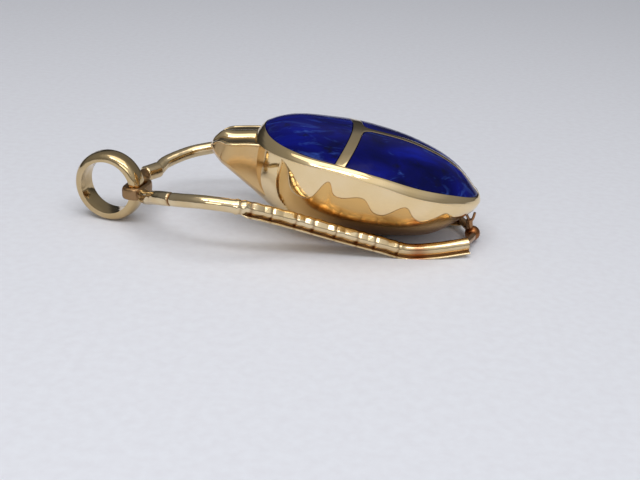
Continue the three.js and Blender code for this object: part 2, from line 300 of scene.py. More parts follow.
polishedSheet = dict(colour="#f8dfb2", tone="#f3d7a2", warm="#e8bd78", soil="#7d4f22",
                     tonePatch=2.5, toneStops=(0.3, 0.7), hazePatch=0.6, hazeStops=(0.35, 0.75),
                     roughness=(0.05, 0.12), warmRoughness=0.2, shadeRoughness=0.4,
                     waveSize=3.2, wave=0.16, waveDepth=0.1,
                     lineStretch=(0.15, 1, 1), lineWidth=0.12, lines=0.06, lineDepth=0.02)
polishedWire = dict(polishedSheet, colour="#ead6b0", tone="#dcc294", warm="#a8633a", hazePatch=0.35,
                    roughness=(0.06, 0.15), waveSize=1.1, wave=0.4, lineWidth=0.09, lines=0.1)
# the band's gold is painted darker than the sheet's, as painted shade
shadedPolishedBand = dict(polishedSheet, colour="#d6be94", tone="#c8ad7e", roughness=(0.07, 0.16),
                    waveSize=1.3, wave=0.5, lineStretch=(1, 0.15, 1), lines=0.12)
sheetGold = goldMaterial("buffed_gold_sheet", polishedSheet)
wireGold = goldMaterial("polished_gold_wire", polishedWire)
shadedBandGold = goldMaterial("polished_gold_band_shaded", shadedPolishedBand)


def lapisMaterial(name, look):
    # lapis lazuli, cut and polished: deep ultramarine clouds, calcite wisps, dark flaws, specks of pyrite
    material, tree, shader = newMaterial(name)
    place = addNode(tree, "ShaderNodeTexCoord").outputs["Object"]
    grain = addNode(tree, "ShaderNodeMapping", {"Scale": look["grainStretch"], "Rotation": look["grainTurn"]},
                    {"Vector": place}).outputs["Vector"]
    cloud = addNode(tree, "ShaderNodeTexNoise", {"Scale": 1 / (look["cloudSize"] * mm), "Detail": 5,
                                                 "Roughness": 0.55, "Distortion": 0.6}, {"Vector": grain})
    blues = zip(look["cloudStops"], (look["dark"], look["blue"], look["bright"]))
    deep = addNode(tree, "ShaderNodeValToRGB", {"stops": blues}, {"Fac": cloud.outputs["Fac"]})
    streak = addNode(tree, "ShaderNodeTexNoise", {"Scale": 1 / (look["wispSize"] * mm), "Detail": 6,
                                                  "Roughness": 0.62, "Distortion": 1.2}, {"Vector": grain})
    wisp = addNode(tree, "ShaderNodeValToRGB", {"stops": zip(look["wispStops"], (0.0, look["wispShare"]))},
                   {"Fac": streak.outputs["Fac"]})
    streaked = addNode(tree, "ShaderNodeMixRGB", {"Color2": linear(look["wisp"])},
                       {"Fac": wisp.outputs["Color"], "Color1": deep.outputs["Color"]})
    murk = addNode(tree, "ShaderNodeTexNoise", {"Scale": 1 / (look["flawSize"] * mm), "Detail": 4,
                                                "Roughness": 0.6}, {"Vector": place})
    flaw = addNode(tree, "ShaderNodeValToRGB", {"stops": zip(look["flawStops"], (0.0, look["flawShare"]))},
                   {"Fac": murk.outputs["Fac"]})
    flawed = addNode(tree, "ShaderNodeMixRGB", {"Color2": linear(look["flaw"])},
                     {"Fac": flaw.outputs["Color"], "Color1": streaked.outputs["Color"]})
    grains = addNode(tree, "ShaderNodeTexVoronoi", {"Scale": 1 / (look["speckGap"] * mm)}, {"Vector": place})
    speck = addNode(tree, "ShaderNodeValToRGB", {"stops": zip(look["speckStops"], (1.0, 0.0))},
                    {"Fac": grains.outputs["Distance"]})
    stone = addNode(tree, "ShaderNodeMixRGB", {"Color2": linear(look["speck"])},
                    {"Fac": speck.outputs["Color"], "Color1": flawed.outputs["Color"]})
    pit = addNode(tree, "ShaderNodeTexNoise", {"Scale": 1 / (look["pitSize"] * mm), "Detail": 3},
                  {"Vector": place})
    rough = addNode(tree, "ShaderNodeValToRGB", {"stops": zip(look["pitStops"], look["roughness"])},
                    {"Fac": pit.outputs["Fac"]})
    pits = addNode(tree, "ShaderNodeBump", {"Strength": look["pits"], "Distance": look["pitDepth"] * mm},
                   {"Height": pit.outputs["Fac"]})
    shader.inputs["IOR"].default_value = look["ior"]
    shader.inputs["Specular IOR Level"].default_value = look["gloss"]
    tree.links.new(stone.outputs["Color"], shader.inputs["Base Color"])
    tree.links.new(rough.outputs["Color"], shader.inputs["Roughness"])
    tree.links.new(pits.outputs["Normal"], shader.inputs["Normal"])
    return material


polishedStone = dict(dark="#020532", blue="#060b5e", bright="#0a188a", cloudSize=3.5,
                     cloudStops=(0.3, 0.5, 0.72), grainStretch=(0.5, 1, 1), grainTurn=(0, 0, 0.35),
                     wisp="#3a5cb4", wispShare=0.6, wispSize=2.2, wispStops=(0.56, 0.74),
                     flaw="#0a0b28", flawShare=0.85, flawSize=2.4, flawStops=(0.6, 0.7),
                     speck="#b59a4a", speckGap=1.7, speckStops=(0.012, 0.022),
                     pitSize=0.5, pits=0.12, pitDepth=0.03, pitStops=(0.35, 0.7),
                     roughness=(0.08, 0.2), ior=1.5, gloss=0.09)
lapis = lapisMaterial("polished_lapis_lazuli", polishedStone)
print("materials made")


# Body: s runs back from the head, y across, h up, tilted nose up

body = dict(tilt=12, place=(11.6, 0, 9.6), halfWidth=8.5, widestAt=9.5, noseReach=10.25, tailReach=13.75,
            noseFullness=2.1, tailFullness=1.7, blend=3, domeFullness=2.4, leastWidth=0.05)
noseAt = body["widestAt"] - body["noseReach"]
tailAt = body["widestAt"] + body["tailReach"]
rimAt = along([(noseAt, 0.5), (0, 0.6), (4, 1.2), (8, 1.65), (12, 1.45), (16, 0.9), (20, 0.6),
               (tailAt, 0.25)])
crownAt = along([(noseAt, 1), (0, 1.7), (2.2, 2.8), (6.4, 3.45), (11, 3.95), (15.8, 3.8), (20.1, 2.6),
                 (tailAt, 0.35)])
keelAt = along([(noseAt, -4), (0, -5.1), (1.7, -6.1), (4.4, -7.1), (7, -7.4), (10, -7.1), (16, -5.9),
                (19.6, -4.6), (21.6, -2.6), (tailAt, -0.7)])


def fullnessAt(s):
    blend = smoothStep(s, body["widestAt"] - body["blend"], body["widestAt"] + body["blend"])
    return body["noseFullness"] + (body["tailFullness"] - body["noseFullness"]) * blend


def eggPoint(turn, side=0.0, nose=0.0, tail=0.0):
    # plan of the back, from the nose round by the right side to the tail
    cos = np.cos(turn)
    reach = np.where(cos > 0, body["noseReach"] - nose, body["tailReach"] - tail)
    s = body["widestAt"] - reach * cos
    y = (body["halfWidth"] - side) * np.sqrt(np.maximum(1 - np.abs(cos) ** fullnessAt(s), 0))
    return np.stack([s, y * np.sign(np.sin(turn))], -1)


def bodyWidth(s):
    reach = np.where(s < body["widestAt"], body["noseReach"], body["tailReach"])
    share = np.minimum(np.abs(s - body["widestAt"]) / reach, 1)
    width = body["halfWidth"] * np.sqrt(np.maximum(1 - share ** fullnessAt(s), 0))
    return np.maximum(width, body["leastWidth"])


def domeHeight(s, y):
    share = np.minimum(np.abs(y) / bodyWidth(s), 1)
    return rimAt(s) + (crownAt(s) - rimAt(s)) * (1 - share ** body["domeFullness"])


def crossRow(s, outline):
    return np.column_stack([np.full(len(outline), s), outline])


def tilted(rows):
    rows = np.asarray(rows, float)
    a = math.radians(body["tilt"])
    x = rows[..., 0] * math.cos(a) + rows[..., 2] * math.sin(a)
    z = rows[..., 2] * math.cos(a) - rows[..., 0] * math.sin(a)
    return np.stack([x + body["place"][0], rows[..., 1], z + body["place"][2]], -1)


# Rim: border strip, rounded over towards a thin edge that overhangs the hull

rim = dict(width=0.68, nose=0.72, tail=0.42, height=0.25, proud=0.18, bulge=0.18, ease=0.06, tip=(1.5, 4),
           steps=440, fineSteps=6000)
# share across the strip, lift, share of the dome's rise that is followed
rimProfile = [(0.34, -0.7, 0), (0.24, -0.32, 0), (0, -0.3, 0), (0, -0.2, 0), (0.12, -0.12, 1),
              (0.35, -0.02, 1), (0.65, 0.03, 1), (0.92, 0.02, 1), (1, -0.01, 1), (1, -0.3, 1), (1, -0.9, 1),
              (0.5, -1, 1)]


def rimShell():
    fine = np.linspace(0, 2 * math.pi, rim["fineSteps"])
    run = runLength(eggPoint(fine))
    turns = np.interp(np.linspace(0, run[-1], rim["steps"], endpoint=False), run, fine)
    outer = eggPoint(turns)
    inner = eggPoint(turns, rim["width"], rim["nose"], rim["tail"])
    edge = rimAt(outer[:, 0])
    crest = domeHeight(inner[:, 0], inner[:, 1])
    tip = 1 - smoothStep(np.abs(outer[:, 1]), *rim["tip"])  # straight up to the dome at both ends
    columns = []
    for k, lift, follow in rounded(rimProfile, rim["ease"]):
        plan = outer + k * (inner - outer)
        straight = edge + (crest - edge) * (k + rim["bulge"] * k * (1 - k))
        top = domeHeight(plan[:, 0], plan[:, 1]) * (1 - tip) + straight * tip
        columns.append(np.column_stack([plan, edge + follow * (top - edge) + lift]))
    return shell(tilted(np.stack(columns, 1)), ring=True)


# Hull: its smooth apron ends in a row of scallops; under them a painted reflection of gold in gold deepens
# the colour, with painted shade along the scallops' step and towards the keel

hull = dict(fullness=1.8, leastDepth=0.15, pocket=1.0, floorUp=0.1, lip=0.3, lipUp=0.05, wallDown=0.04,
            endGap=0.02, rows=300, floorPoints=8, apronPoints=32, lowerPoints=48, crowding=1.4)
# the dark line at the step and the keel darkening are painted shade; edge is where the painted reflection
# fades in
apron = dict(sheet=0.07, step=0.1, slope=0.2, ease=0.1, deepest=0.42, edge=0.14, neck=0.35, least=0.05,
             most=0.9, soil=0.3, shadeWidth=0.07, keelShade=0.8, keelFrom=0.5, keelTo=0.75, keelBack=(6, 11))
# distance of the apron's edge below the rim, along the body
apronAt = along([(noseAt, 0.12), (2.3, 0.12), (2.6, 0.12), (3.3, 0.8), (4, 2.7), (5.5, 3.5), (6.3, 3.2),
                 (7.2, 1.2), (7.6, 1.1), (8.2, 2.2), (8.9, 2.4), (10.8, 1.7), (11.3, 1.8), (12.4, 2.9),
                 (13.4, 2.9), (15, 1.3), (15.5, 1.2), (16.4, 2.1), (17.3, 2.5), (18.5, 1.8), (19.5, 1),
                 (20.6, 1.6), (21.6, 1.4), (tailAt, 0.5)])
# in front it ends at the neck: place along the body by distance below the rim
neckAt = along([(0, 2.5), (2.1, 2.5), (3.3, 2.7), (4.6, 3.2), (5.6, 4), (7.5, 5.6)])


def apronFall(past):
    # how far the metal lies in below the scallops: the step, then a slope that levels out
    slope = apron["slope"] * (past + np.sqrt(past**2 + apron["ease"] ** 2)) / 2
    step = apron["sheet"] * smoothStep(past, 0, apron["step"])
    return apron["deepest"] * np.tanh(slope / apron["deepest"]) + step


def hullSection(s):
    # half outline from the middle of the pockets' floor out to the rim and down to the keel, with its marks
    width = bodyWidth(s)
    inner = width - min(rim["proud"], width / 3)
    ledge = rimAt(s) - rim["height"]
    depth = max(ledge - keelAt(s), hull["leastDepth"])
    lip = min(hull["lip"], inner / 3)
    across = np.linspace(0, inner - lip, hull["floorPoints"])
    floor = np.minimum(domeHeight(s, across) - hull["pocket"], ledge + hull["floorUp"])
    edge = np.clip(apronAt(s), apron["least"], depth * apron["most"])
    edgeTurn = math.asin((edge / depth) ** (hull["fullness"] / 2))
    lower = edgeTurn + (math.pi / 2 - edgeTurn) * np.linspace(0, 1, hull["lowerPoints"]) ** hull["crowding"]
    angle = np.r_[np.linspace(0, edgeTurn, hull["apronPoints"], endpoint=False), lower]
    out = inner * np.cos(angle) ** (2 / hull["fullness"])
    drop = depth * np.sin(angle) ** (2 / hull["fullness"])
    past = drop - edge
    behind = s - neckAt(drop)
    opened = smoothStep(behind, 0, apron["neck"])
    out = out - apronFall(past) * opened * out / inner
    half = np.vstack([np.stack([across, floor], 1), [[inner - lip / 2, ledge + hull["lipUp"]]],
                      np.stack([out, ledge - hull["wallDown"] - drop], 1)])
    # painted shade: a dark line along the scallops' step and the neck, and darker towards the keel; the warm
    # tone below the edge is a painted reflection of gold in gold
    lines = bump(past, apron["step"] / 2, apron["shadeWidth"]) * opened
    lines = np.maximum(lines, bump(behind, apron["neck"] / 2, apron["shadeWidth"]) * (past > 0))
    keel = apron["keelShade"] * smoothStep(drop / depth, apron["keelFrom"], apron["keelTo"]) * opened
    soil = np.maximum(lines * apron["soil"], keel * smoothStep(s, *apron["keelBack"]))
    warm = smoothStep(past, 0, apron["edge"]) * opened
    clean = np.zeros(len(across) + 1)
    return half, np.r_[clean, soil], np.r_[clean, warm]


def hullShell():
    rows, soil, warm = [], [], []
    for s in np.linspace(noseAt + hull["endGap"], tailAt - hull["endGap"], hull["rows"]):
        half, halfShade, halfWarm = hullSection(s)
        rows.append(crossRow(s, mirroredRing(half)))
        soil.append(bothSides(halfShade))
        warm.append(bothSides(halfWarm))
    return shell(tilted(rows), soil=np.concatenate(soil), warm=np.concatenate(warm))


# Ribs: one across behind the shield, one down the middle between the wing cases

rib = dict(width=1.0, at=9.1, bow=1.25, lift=0.004, flat=0.4, depth=0.9, ease=0.05, rimShare=0.75, steps=140)
midRib = dict(width=0.8, corner=1.4, lift=-0.004, flat=0.4, depth=0.9, ease=0.03, flareTo=3, flareSteps=60,
              backFrom=3.1, backSteps=130, tailGap=0.25)


def ribProfile(half, look):
    flat = half * look["flat"]
    return rounded([(-half, 0), (-flat, look["lift"]), (flat, look["lift"]), (half, 0),
                    (half, -look["depth"]), (-half, -look["depth"])], look["ease"])


def ribCentre(y):
    return rib["at"] - rib["bow"] * (y / body["halfWidth"]) ** 2


def ribShell():
    end = body["halfWidth"] - rim["width"] * rib["rimShare"]
    profile = ribProfile(0.5, rib)
    rows = []
    for y in np.linspace(-end, end, rib["steps"]):
        s = ribCentre(y) + profile[:, 0] * rib["width"]
        rows.append(np.column_stack([s, np.full(len(s), y), domeHeight(s, y) + profile[:, 1]]))
    return shell(tilted(rows))


def midRibHalf(s):
    # the strip flares where the wing cases' corners are rounded
    start = rib["at"] + rib["width"] / 2
    share = np.clip((s - start) / midRib["corner"], 0, 1)
    return midRib["width"] / 2 + midRib["corner"] * (1 - np.sqrt(share)) ** 2


def midRibShell():
    profile = ribProfile(1, midRib)
    flare = np.linspace(rib["at"], rib["at"] + midRib["flareTo"], midRib["flareSteps"])
    back = np.linspace(rib["at"] + midRib["backFrom"], tailAt - midRib["tailGap"], midRib["backSteps"])
    rows = []
    for s in np.r_[flare, back]:
        y = profile[:, 0] * midRibHalf(s)
        rows.append(crossRow(s, np.stack([y, domeHeight(s, y) + profile[:, 1]], 1)))
    return shell(tilted(rows))


# Head: raised middle plate, ledge, thin ridge, and a wall that flares a little down to the jaw

head = dict(front=-4.85, back=2.5, steps=90, fullHeight=2, ease=0.14, warm=0.5, soil=0.3,
            crestShare=0.28, crest=0.4, crestRound=[(0.5, 0.07), (0.8, 0.2)], crestFoot=0.07,
            step=0.1, ledge=0.03, ridge=0.12, ridgeWidth=0.3, grooveShare=1.4, ridgeFall=0.05,
            lip=0.2, lipProud=0.1, undercut=0.08, flare=0.15,
            jaw=0.75, jawDown=0.1, chinUp=0.15, chinDown=0.12)
headWidthAt = along([(-4.85, 0.8), (-4.7, 1.3), (-4.2, 1.95), (-3.7, 2.55), (-3.25, 3.08), (-3, 3.2),
                     (-1, 3.3), (2.5, 3.3)])
headTopAt = along([(-4.85, -1.9), (-4.78, -1.5), (-4.5, -0.9), (-4.15, -0.42), (-3.8, -0.17), (-3, 0),
                   (-0.75, 0.65), (2.5, 1.2)])
headChinAt = along([(-4.85, -2.2), (-4.7, -2.4), (-4.2, -2.75), (-3.4, -3), (-3, -3.12), (-1.15, -4),
                    (0.6, -4.85), (2.5, -5.6)])


def headSection(s):
    width, top, chin = headWidthAt(s), headTopAt(s), headChinAt(s)
    small = min(1, (top - chin) / head["fullHeight"])  # the steps shrink towards the tip
    crest = width * head["crestShare"]
    foot = top - head["crest"] * small
    ledge = foot - head["step"] * small
    ridge = ledge - head["ledge"] + head["ridge"] * small
    wall = ridge - head["lip"] * small
    plate = [(crest * share, top - fall * small) for share, fall in head["crestRound"]]
    sides = [(crest, foot), (crest + head["crestFoot"], ledge),
             (width - head["ridgeWidth"] * head["grooveShare"], ledge - head["ledge"]),
             (width - head["ridgeWidth"], ridge), (width, ridge - head["ridgeFall"]), (width, wall),
             (width - head["lipProud"], wall - head["undercut"] * small)]
    jaw = [(width - head["lipProud"] + head["flare"] * small,
            min(chin + head["jaw"], wall - head["jawDown"] * small)),
           (width - head["jaw"] * small, min(chin + head["chinUp"], wall - head["chinDown"] * small))]
    return rounded([(0, top)] + plate + sides + jaw + [(0, chin)], head["ease"], closed=False), wall


def headShell():
    rows, below = [], []
    for s in stations(head["front"], 2 * head["back"] - head["front"], 2 * head["steps"])[:head["steps"]]:
        half, wall = headSection(s)
        ring = mirroredRing(half)
        rows.append(crossRow(s, ring))
        below.append(ring[:, 1] < wall)
    below = np.concatenate(below)
    # painted shade: the wall below the lip is darker, warmer in tone and rougher
    return shell(tilted(rows), soil=head["soil"] * below, warm=head["warm"] * below)


# Inlays: stone slabs with a polished, slightly eased edge that follow the back

inlay = dict(gap=0.045, thickness=0.8, sunk=0.012, edgeDrop=0.07,
             planSteps=4000, middleSteps=400, frontSteps=120, outlineSteps=420,
             underShares=(0.03, 0.6), topShares=(0.95, 0.03), topRings=34,
             edgeRings=[(1.0, 1.6), (0.996, 0.6), (0.988, 0.15), (0.975, 0)])  # share, share of the drop


def inlayEdge():
    gap = inlay["gap"]
    turns = np.linspace(0, math.pi, inlay["planSteps"])
    return eggPoint(turns, rim["width"] + gap, rim["nose"] + gap, rim["tail"] + gap)


def shieldOutline():
    run = inlayEdge()
    ribFront = -rib["width"] / 2 - inlay["gap"]
    front = run[run[:, 0] < ribCentre(run[:, 1]) + ribFront]
    y = np.linspace(front[-1, 1], -front[-1, 1], inlay["frontSteps"])
    back = np.column_stack([ribCentre(y) + ribFront, y])
    return evenSteps(np.vstack([front, back, front[::-1] * [1, -1]]), inlay["outlineSteps"], closed=True)


def wingOutline(side):
    gap = inlay["gap"]
    run = inlayEdge()
    ribBack = rib["width"] / 2 + gap
    edge = run[(run[:, 0] > ribCentre(run[:, 1]) + ribBack) & (run[:, 1] > midRib["width"] / 2 + gap)]
    s = np.linspace(edge[-1, 0], rib["at"] + ribBack, inlay["middleSteps"])
    middle = np.column_stack([s, midRibHalf(s - gap) + gap])
    y = np.linspace(middle[-1, 1], edge[0, 1], inlay["frontSteps"])
    front = np.column_stack([ribCentre(y) + ribBack, y])
    return evenSteps(np.vstack([edge, middle, front]), inlay["outlineSteps"], closed=True) * [1, side]


def inlayShell(outline):
    centre = outline.mean(0)
    edge = [(share, -inlay["edgeDrop"] * drop) for share, drop in inlay["edgeRings"]]
    top = [(share, 0) for share in np.linspace(*inlay["topShares"], inlay["topRings"])]
    rings = [(share, -inlay["thickness"]) for share in inlay["underShares"]]
    rings += [(share, drop - inlay["sunk"]) for share, drop in [(1.0, -inlay["thickness"])] + edge + top]
    rows = []
    for share, drop in rings:
        plan = centre + (outline - centre) * share
        rows.append(np.column_stack([plan, domeHeight(plan[:, 0], plan[:, 1]) + drop]))
    return shell(tilted(rows))


makePiece("gold_scarab_body", [hullShell(), rimShell(), ribShell(), midRibShell(), headShell()], sheetGold,
          "gold_body")
makePiece("lapis_shield", [inlayShell(shieldOutline())], lapis, "shield_inlay")
makePiece("lapis_left_wing", [inlayShell(wingOutline(-1))], lapis, "left_wing_inlay")
makePiece("lapis_right_wing", [inlayShell(wingOutline(1))], lapis, "right_wing_inlay")


# Legs: a wire on each side from the eye to the tail; behind the knee it is beaded and lies on a thin strip

# the wire's root darkening is painted shade where it runs into the eye
leg = dict(wire=0.68, steps=560, tip=0.5, tipThin=0.3, copper=0.7, copperAt=28.2, copperWidth=0.9,
           rootShade={-1: 0.75, 1: 0.8}, rootRun={-1: 0.75, 1: 2.2}, rootFade=0.3)
# centre lines; -1 is the left side, 1 the right
legFront = {-1: [(-0.1, 3.2, 3.72), (0.72, 4.45, 3.9), (1.5, 5.5, 4.35), (2.5, 6.7, 4.85)],
            1: [(-0.6, 0.05, 3.7), (-1, 1.15, 3.85), (-0.9, 2.2, 4), (0.05, 3.55, 4.1), (0.5, 4.75, 4.45),
                (1.46, 6, 4.75), (2.96, 7.5, 5.05)]}
legPath = [(4.6, 8.15, 5.35), (7.5, 9.1, 5.7), (10.7, 8.8, 5.35), (13.6, 7.8, 4.5), (16.4, 7, 3.6),
           (20.3, 6.2, 2.4), (24.3, 5.5, 1.3), (26.9, 5, 0.58), (29.4, 4.7, 0.7), (33.2, 3.7, 1.15)]
# the dark between the knee's rings, at the foot's seam and in the bead notches is painted shade, with polish
# residue
knee = dict(at=10.7, swell=0.16, rings=(-0.3, 0.35), ringWidth=0.22, soil=0.4, shadeWidth=0.12)
bead = dict(start=11.6, end=26.2, fadeIn=0.4, fadeOut=0.8, length=2.05, wander=0.18, wanderRate=1.9,
            belly=0.12, notch=0.1, notchWidth=0.2, soil=0.55, shadeShare=0.6,
            facet=0.1, facetTurn=42, facetSway=5, facetRate=1.3)
# the groove where the bar sits on the strip is darkened as painted shade
strip = dict(start=0.1, full=0.7, under=-0.7, flat=0.4, ease=0.03,
             bar=0.63, barUp=0.09, barTurn=(-46, 90), barPoints=17,
             grooveShade=0.75, grooveWidth=0.6, grooveTurn=-6)
stripEdge = [(0.82, -0.7), (0.88, -0.64), (0.88, -0.56), (0.82, -0.51), (0.42, -0.47)]
foot = dict(seam=3.9, seamRamp=0.1, swell=0.05, cut=0.2, cutWidth=0.11,
            rightPath=[(-1.05, 2.05, 4), (0.15, 3.65, 4.1)], rightRadius=0.84, ease=0.22, soil=0.1,
            steps=40, around=40)


def legSections():
    # right half from the bottom to the top: first the strip, then the bar on it; beads only swell the bar
    turn = np.linspace(*strip["barTurn"], strip["barPoints"])
    upright = np.stack([np.cos(np.radians(turn)), np.sin(np.radians(turn))], 1)
    bar = strip["bar"] * upright + [0, strip["barUp"]]
    bottom = [(0, strip["under"]), (strip["flat"], strip["under"])]
    edge = rounded(bottom[:1] + stripEdge + [bar[0]], strip["ease"], steps=2, closed=False)[1:-1]
    half = np.vstack([bottom, edge, bar])
    onBar = np.r_[np.zeros(len(half) - len(bar)), np.ones(len(bar))]
    inBar = 1 - smoothStep(turn, strip["barTurn"][0], strip["grooveTurn"])
    groove = np.r_[0, 0, edge[:, 0] < strip["grooveWidth"], inBar]
    return mirroredRing(half), bothSides(onBar), bothSides(groove)


def legProfile(x, side):
    # swelling along the leg, and darkening in its cuts: painted shade, with polish residue
    swell = 1 + knee["swell"] * sum(bump(x, knee["at"] + off, knee["ringWidth"]) for off in knee["rings"])
    soil = knee["soil"] * bump(x, knee["at"], knee["shadeWidth"])
    if side < 0:
        swell = swell + foot["swell"] * (1 - smoothStep(x, foot["seam"] - foot["seamRamp"],
                                                        foot["seam"] + foot["seamRamp"]))
        swell = swell - foot["cut"] * bump(x, foot["seam"], foot["cutWidth"])
        soil = soil + bump(x, foot["seam"], foot["cutWidth"])
    phase = (x + bead["wander"] * np.sin(x * bead["wanderRate"]) - bead["start"]) / bead["length"]
    off = (phase - np.round(phase)) * bead["length"]
    beaded = smoothStep(x, bead["start"] - bead["fadeIn"], bead["start"])
    beaded = beaded * (1 - smoothStep(x, bead["end"], bead["end"] + bead["fadeOut"]))
    belly = bead["belly"] * (1 - (off * 2 / bead["length"]) ** 2)
    swell = swell + beaded * (belly - bead["notch"] * bump(off, 0, bead["notchWidth"]))
    return swell, soil + bead["soil"] * beaded * bump(off, 0, bead["notchWidth"] * bead["shadeShare"])


def legShell(side):
    path = wirePath([(x, side * y, z) for x, y, z in legFront[side] + legPath], leg["steps"])
    run = runLength(path)
    x = path[:, 0]
    swell, soil = legProfile(x, side)
    tip = 1 - leg["tipThin"] * (1 - np.sqrt(np.clip(run / leg["tip"], 0, 1)))
    onStrip = smoothStep(x, knee["at"] + strip["start"], knee["at"] + strip["full"])
    struck = smoothStep(x, bead["start"] - bead["fadeIn"], bead["start"])
    struck = struck * (1 - smoothStep(x, bead["end"] - bead["fadeOut"], bead["end"]))
    flat, onBar, groove = legSections()
    turn = np.arctan2(flat[:, 1], flat[:, 0])
    wire = np.stack([np.cos(turn), np.sin(turn)], 1) * leg["wire"]

    def section(i):
        grown = 1 + onBar * (swell[i] - 1)
        beads = np.stack([flat[:, 0] * grown, strip["barUp"] + (flat[:, 1] - strip["barUp"]) * grown], 1)
        # each bead is struck flat on its upper sides
        tilt = math.radians(bead["facetTurn"] + bead["facetSway"] * math.sin(x[i] * bead["facetRate"]))
        for hand in (1, -1):
            face = np.array([hand * math.cos(tilt), math.sin(tilt)])
            reach = strip["bar"] * (1 - bead["facet"] * struck[i]) * swell[i] + strip["barUp"] * face[1]
            beads = beads - np.maximum(beads @ face - reach, 0)[:, None] * face
        return (wire * swell[i] * (1 - onStrip[i]) + beads * onStrip[i]) * tip[i]

    rows = np.array(sweep(path, section))
    rows[..., 2] = np.maximum(rows[..., 2], 0)  # flat where it lies on the floor
    copper = leg["copper"] * bump(x, leg["copperAt"], leg["copperWidth"])
    # painted shade: the wire is dark where it runs into the eye, and in the groove where the bar sits on the
    # strip
    rootEnd = leg["rootRun"][side]
    root = leg["rootShade"][side] * (1 - smoothStep(run, rootEnd - leg["rootFade"], rootEnd + leg["rootFade"]))
    soil = (soil + root)[:, None] + strip["grooveShade"] * onStrip[:, None] * groove
    return shell(rows, soil=np.clip(soil, 0, 1), warm=np.repeat(copper, len(flat)))


def footShell():
    # the right front foot is a short thick bead on the wire, painted slightly darker as shade
    start, end = np.array(foot["rightPath"])
    length = np.linalg.norm(end - start)
    run = stations(0, length, foot["steps"])
    edge = np.clip(1 - np.minimum(run, length - run) / foot["ease"], 0, 1)
    radius = foot["rightRadius"] - foot["ease"] * (1 - np.sqrt(1 - edge**2))
    path = start + (end - start) * (run / length)[:, None]
    ring = circle(foot["around"])
    return shell(sweep(path, lambda i: ring * radius[i]), soil=foot["soil"])


# Eye: oblong loop of flat strap, close round the bail, darkened all over as painted shade

eye = dict(centre=(-0.88, -1.75, 3.7), halfLength=0.87, halfWidth=1.6, fullness=3.5, thin=0.24, thick=0.38,
           tall=0.62, square=0.6, turn=-13, soil=0.75, steps=160, around=28)


def eyeShell():
    across, up = bent(circle(eye["around"]), eye["square"]).T
    half = np.array([eye["halfLength"], eye["halfWidth"]])
    rows = []
    for turn in (np.arange(eye["steps"]) + 0.5) * 2 * math.pi / eye["steps"]:
        loop = bent(np.array([math.cos(turn), math.sin(turn)]), 2 / eye["fullness"])
        out = bent(loop, eye["fullness"] - 1) / half
        out /= np.linalg.norm(out)
        strap = eye["thin"] + (eye["thick"] - eye["thin"]) * (1 - math.cos(turn)) / 2
        plan = half * loop + strap * across[:, None] * out
        x, y = turnedFlat(plan[:, 0], plan[:, 1], eye["turn"], eye["centre"])
        rows.append(np.column_stack([x, y, eye["tall"] * up + eye["centre"][2]]))
    return shell(rows, ring=True, soil=eye["soil"])


# Tail: a ball on a loop of wire, with a split pin whose ends are spread

# the tail's wire, ball and pin are darkened as painted shade; the warm mark gives them a coppery tone
tail = dict(wire=0.42, inset=0.4, steps=90, around=24, wireShade=0.35, wireWarm=0.5,
            ballShade=0.5, ballWarm=0.9, post=0.34, prong=0.14, pinSteps=24, pinShade=0.45, pinWarm=0.6)
pinPaths = [((33.75, 0, 1.3), (33.6, 0, 1.9), (33.5, 0, 2.45)),
            ((33.6, 0, 2.2), (33.38, 0, 2.6), (33.2, 0, 2.92)),
            ((33.7, 0, 2.2), (33.9, 0, 2.7), (34, 0, 3.26))]
# the solder ball is darkened as painted shade
solder = dict(place=(0.1, -3.05, 3.68), radius=0.5, soil=0.7)  # joins the left front foot to the eye


def ballShell(place, radius, soil=0.0, warm=0.0):
    rows = []
    for polar in np.linspace(ball["pole"], math.pi - ball["pole"], ball["rings"]):
        ring = radius * math.sin(polar) * circle(ball["around"]) + place[:2]
        rows.append(np.column_stack([ring, np.full(len(ring), place[2] + radius * math.cos(polar))]))
    return shell(rows, soil=soil, warm=warm)


def tailShells():
    x, y, z = legPath[-1]
    path = wirePath([(x - tail["inset"], -y, z), ball["place"], (x - tail["inset"], y, z)], tail["steps"])
    ring = circle(tail["around"])
    shells = [shell(sweep(path, lambda i: ring * tail["wire"]), soil=tail["wireShade"], warm=tail["wireWarm"]),
              ballShell(ball["place"], ball["radius"], tail["ballShade"], tail["ballWarm"])]
    for points, wire in zip(pinPaths, (tail["post"], tail["prong"], tail["prong"])):
        rows = sweep(wirePath(points, tail["pinSteps"]), lambda i: ring * wire, lean=(0, 1, 0))
        shells.append(shell(rows, soil=tail["pinShade"], warm=tail["pinWarm"]))
    return shells


solderShell = ballShell(solder["place"], solder["radius"], solder["soil"])
makePiece("gold_leg_frame", [legShell(-1), legShell(1), footShell(), eyeShell(), solderShell] + tailShells(),
          wireGold, "leg_frame")


# Bail: plain band, flat inside and rounded outside

bail = dict(outer=3.7, inner=2.76, width=2.3, fullness=2.8, ease=0.04, turn=-13, place=(-3.915, -1.05),
            steps=220, across=41)


def bailShell():
    arc = np.linspace(0, math.pi, bail["across"])
    rise = bent(np.sin(arc), 2 / bail["fullness"])
    side = bent(np.cos(arc), 2 / bail["fullness"])
    outside = np.stack([bail["inner"] + (bail["outer"] - bail["inner"]) * rise, -bail["width"] / 2 * side], 1)
    profile = rounded(np.vstack([outside, [(bail["inner"], 0)]]), bail["ease"], steps=2)
    rows = []
    for turn in np.linspace(0, 2 * math.pi, bail["steps"], endpoint=False):
        x, y = turnedFlat(profile[:, 0] * math.sin(turn), profile[:, 1], bail["turn"], bail["place"])
        rows.append(np.column_stack([x, y, profile[:, 0] * math.cos(turn) + bail["outer"]]))
    return shell(rows, ring=True)


makePiece("gold_bail", [bailShell()], shadedBandGold, "bail_ring")


# Stage: pale floor, soft light from above, small lamps for the sparks on the metal

